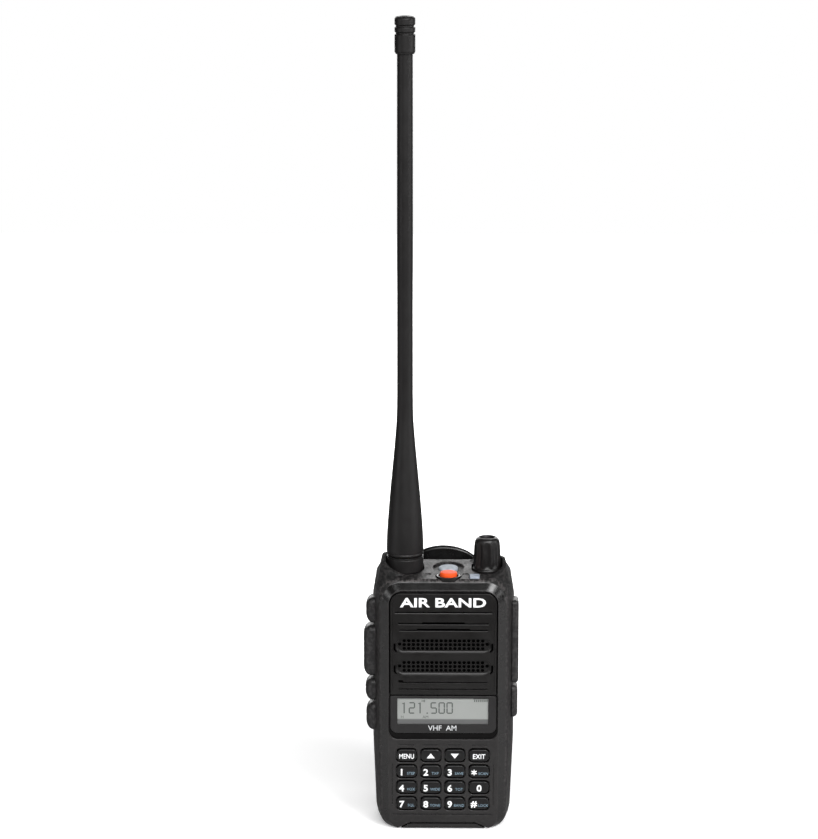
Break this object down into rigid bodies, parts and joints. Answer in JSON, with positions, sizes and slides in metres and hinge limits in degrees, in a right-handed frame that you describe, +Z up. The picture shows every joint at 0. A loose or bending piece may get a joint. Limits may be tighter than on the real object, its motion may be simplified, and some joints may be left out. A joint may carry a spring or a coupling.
{
  "type": "handheld aviation radio",
  "caption": "Upright handheld airband radio with a long flexible whip antenna, grille, display window, keypad, side talk button, volume knob, slide-on battery and sprung belt clip.",
  "frame": {"origin": "the flat land in the middle of the case's base, where the radio stands", "axes": "+Z up along the antenna, -Y the front with the keypad and display, +X the side with the accessory jack cover"},
  "size_m": [0.064, 0.0403, 0.3339],
  "materials": {
    "case_plastic": "moulded black case plastic with a fine spark texture, leather-like grain on the top and shoulders",
    "panel_plastic": "satin black grille insert",
    "window_black": "smooth black window surround",
    "lcd": "grey-green liquid crystal display",
    "key_rubber": "satin black keys",
    "side_rubber": "matte black rubber",
    "antenna_rubber": "smooth matte black rubber",
    "knob_plastic": "satin-gloss black fluted knob",
    "clip_plastic": "satin black moulded clip",
    "lens_grey": "frosted blue-grey lens",
    "alarm_orange": "bright orange button",
    "cast_metal": "die-cast aluminium",
    "brass": "machined brass",
    "steel": "plated steel",
    "board": "green circuit board",
    "cell": "blue wrapped lithium cell",
    "silicone": "grey silicone rubber"
  },
  "bodies": {
    "case": {"front_case": "case_plastic", "speaker_grille_panel": "panel_plastic", "display_window": "window_black", "lcd_module": "lcd", "speaker_driver": "steel", "microphone": "steel", "keypad_membrane": "silicone", "main_board": "board", "rear_chassis": "cast_metal", "battery_contact_block": "brass", "chassis_screw_left": "steel", "chassis_screw_right": "steel", "antenna_jack": "brass", "volume_switch_body": "steel", "accessory_jack_block": "clip_plastic", "alarm_button_ring": "side_rubber", "torch_lens": "lens_grey", "status_led_lens": "lens_grey", "jack_cover_anchor": "side_rubber", "battery_latch_pin": "steel", "clip_bracket": "steel", "clip_pin": "steel", "clip_spring": "steel", "clip_screw_left": "steel", "clip_screw_right": "steel"},
    "antenna_insert": {"antenna_connector": "brass"},
    "antenna": {"antenna_collar": "antenna_rubber", "antenna_sheath": "antenna_rubber", "antenna_tip_cap": "antenna_rubber", "antenna_radiator": "steel"},
    "volume_control": {"volume_knob": "knob_plastic", "volume_shaft": "steel"},
    "alarm_button": {"alarm_button": "alarm_orange"},
    "ptt_button": {"ptt_button": "side_rubber"},
    "side_key_top": {"side_key_top": "side_rubber"},
    "side_key_upper": {"side_key_upper": "side_rubber"},
    "side_key_lower": {"side_key_lower": "side_rubber"},
    "jack_cover": {"jack_cover": "side_rubber"},
    "battery": {"battery_case": "case_plastic", "battery_lid": "case_plastic", "battery_cell_left": "cell", "battery_cell_right": "cell"},
    "battery_latch": {"battery_latch": "case_plastic"},
    "belt_clip": {"belt_clip": "clip_plastic"},
    "key_menu": {"key_menu": "key_rubber"},
    "key_up": {"key_up": "key_rubber"},
    "key_down": {"key_down": "key_rubber"},
    "key_exit": {"key_exit": "key_rubber"},
    "key_1": {"key_1": "key_rubber"},
    "key_2": {"key_2": "key_rubber"},
    "key_3": {"key_3": "key_rubber"},
    "key_star": {"key_star": "key_rubber"},
    "key_4": {"key_4": "key_rubber"},
    "key_5": {"key_5": "key_rubber"},
    "key_6": {"key_6": "key_rubber"},
    "key_0": {"key_0": "key_rubber"},
    "key_7": {"key_7": "key_rubber"},
    "key_8": {"key_8": "key_rubber"},
    "key_9": {"key_9": "key_rubber"},
    "key_hash": {"key_hash": "key_rubber"}
  },
  "joints": [
    {"name": "antenna_lift", "type": "slide", "parent": "case", "child": "antenna_insert", "axis": [0, 0, 1], "range_m": [0, 0.00353]},
    {"name": "antenna_turn", "type": "hinge", "parent": "antenna_insert", "child": "antenna", "pos_m": [-0.01595, 0.002, 0.1059], "axis": [0, 0, 1], "range_deg": [0, 1800]},
    {"name": "volume_turn", "type": "hinge", "parent": "case", "child": "volume_control", "pos_m": [0.01795, 0.001, 0.1059], "axis": [0, 0, -1], "range_deg": [0, 300]},
    {"name": "alarm_press", "type": "slide", "parent": "case", "child": "alarm_button", "axis": [0, 0, -1], "range_m": [0, 0.0006], "stiffness_N_per_m": 1500, "springref_m": -0.0005},
    {"name": "ptt_press", "type": "slide", "parent": "case", "child": "ptt_button", "axis": [1, 0, 0], "range_m": [0, 0.0012], "stiffness_N_per_m": 2000, "springref_m": -0.0006},
    {"name": "side_key_top_press", "type": "slide", "parent": "case", "child": "side_key_top", "axis": [1, 0, 0], "range_m": [0, 0.0008], "stiffness_N_per_m": 1800, "springref_m": -0.0005},
    {"name": "side_key_upper_press", "type": "slide", "parent": "case", "child": "side_key_upper", "axis": [1, 0, 0], "range_m": [0, 0.0008], "stiffness_N_per_m": 1800, "springref_m": -0.0005},
    {"name": "side_key_lower_press", "type": "slide", "parent": "case", "child": "side_key_lower", "axis": [1, 0, 0], "range_m": [0, 0.0008], "stiffness_N_per_m": 1800, "springref_m": -0.0005},
    {"name": "jack_cover_hinge", "type": "hinge", "parent": "case", "child": "jack_cover", "pos_m": [0.0306, -0.0034, 0.0599], "axis": [0, 1, 0], "range_deg": [0, 110]},
    {"name": "battery_slide", "type": "slide", "parent": "case", "child": "battery", "axis": [0, 0, -1], "range_m": [0, 0.012]},
    {"name": "battery_latch_hinge", "type": "hinge", "parent": "case", "child": "battery_latch", "pos_m": [0, -0.0144, 0.0024], "axis": [-1, 0, 0], "range_deg": [0, 10], "stiffness_Nm_per_rad": 0.05, "springref_deg": -5.73},
    {"name": "belt_clip_hinge", "type": "hinge", "parent": "case", "child": "belt_clip", "pos_m": [0, 0.0184, 0.1015], "axis": [1, 0, 0], "range_deg": [0, 20], "stiffness_Nm_per_rad": 0.6, "springref_deg": -20.05},
    {"name": "key_menu_press", "type": "slide", "parent": "case", "child": "key_menu", "axis": [0, 1, 0], "range_m": [0, 0.0007], "stiffness_N_per_m": 1200, "springref_m": -0.0005},
    {"name": "key_up_press", "type": "slide", "parent": "case", "child": "key_up", "axis": [0, 1, 0], "range_m": [0, 0.0007], "stiffness_N_per_m": 1200, "springref_m": -0.0005},
    {"name": "key_down_press", "type": "slide", "parent": "case", "child": "key_down", "axis": [0, 1, 0], "range_m": [0, 0.0007], "stiffness_N_per_m": 1200, "springref_m": -0.0005},
    {"name": "key_exit_press", "type": "slide", "parent": "case", "child": "key_exit", "axis": [0, 1, 0], "range_m": [0, 0.0007], "stiffness_N_per_m": 1200, "springref_m": -0.0005},
    {"name": "key_1_press", "type": "slide", "parent": "case", "child": "key_1", "axis": [0, 1, 0], "range_m": [0, 0.0007], "stiffness_N_per_m": 1200, "springref_m": -0.0005},
    {"name": "key_2_press", "type": "slide", "parent": "case", "child": "key_2", "axis": [0, 1, 0], "range_m": [0, 0.0007], "stiffness_N_per_m": 1200, "springref_m": -0.0005},
    {"name": "key_3_press", "type": "slide", "parent": "case", "child": "key_3", "axis": [0, 1, 0], "range_m": [0, 0.0007], "stiffness_N_per_m": 1200, "springref_m": -0.0005},
    {"name": "key_star_press", "type": "slide", "parent": "case", "child": "key_star", "axis": [0, 1, 0], "range_m": [0, 0.0007], "stiffness_N_per_m": 1200, "springref_m": -0.0005},
    {"name": "key_4_press", "type": "slide", "parent": "case", "child": "key_4", "axis": [0, 1, 0], "range_m": [0, 0.0007], "stiffness_N_per_m": 1200, "springref_m": -0.0005},
    {"name": "key_5_press", "type": "slide", "parent": "case", "child": "key_5", "axis": [0, 1, 0], "range_m": [0, 0.0007], "stiffness_N_per_m": 1200, "springref_m": -0.0005},
    {"name": "key_6_press", "type": "slide", "parent": "case", "child": "key_6", "axis": [0, 1, 0], "range_m": [0, 0.0007], "stiffness_N_per_m": 1200, "springref_m": -0.0005},
    {"name": "key_0_press", "type": "slide", "parent": "case", "child": "key_0", "axis": [0, 1, 0], "range_m": [0, 0.0007], "stiffness_N_per_m": 1200, "springref_m": -0.0005},
    {"name": "key_7_press", "type": "slide", "parent": "case", "child": "key_7", "axis": [0, 1, 0], "range_m": [0, 0.0007], "stiffness_N_per_m": 1200, "springref_m": -0.0005},
    {"name": "key_8_press", "type": "slide", "parent": "case", "child": "key_8", "axis": [0, 1, 0], "range_m": [0, 0.0007], "stiffness_N_per_m": 1200, "springref_m": -0.0005},
    {"name": "key_9_press", "type": "slide", "parent": "case", "child": "key_9", "axis": [0, 1, 0], "range_m": [0, 0.0007], "stiffness_N_per_m": 1200, "springref_m": -0.0005},
    {"name": "key_hash_press", "type": "slide", "parent": "case", "child": "key_hash", "axis": [0, 1, 0], "range_m": [0, 0.0007], "stiffness_N_per_m": 1200, "springref_m": -0.0005}
  ],
  "couplings": [
    {"joint": "antenna_turn", "follows": "antenna_lift", "rad_per_m": 8905.2}
  ]
}
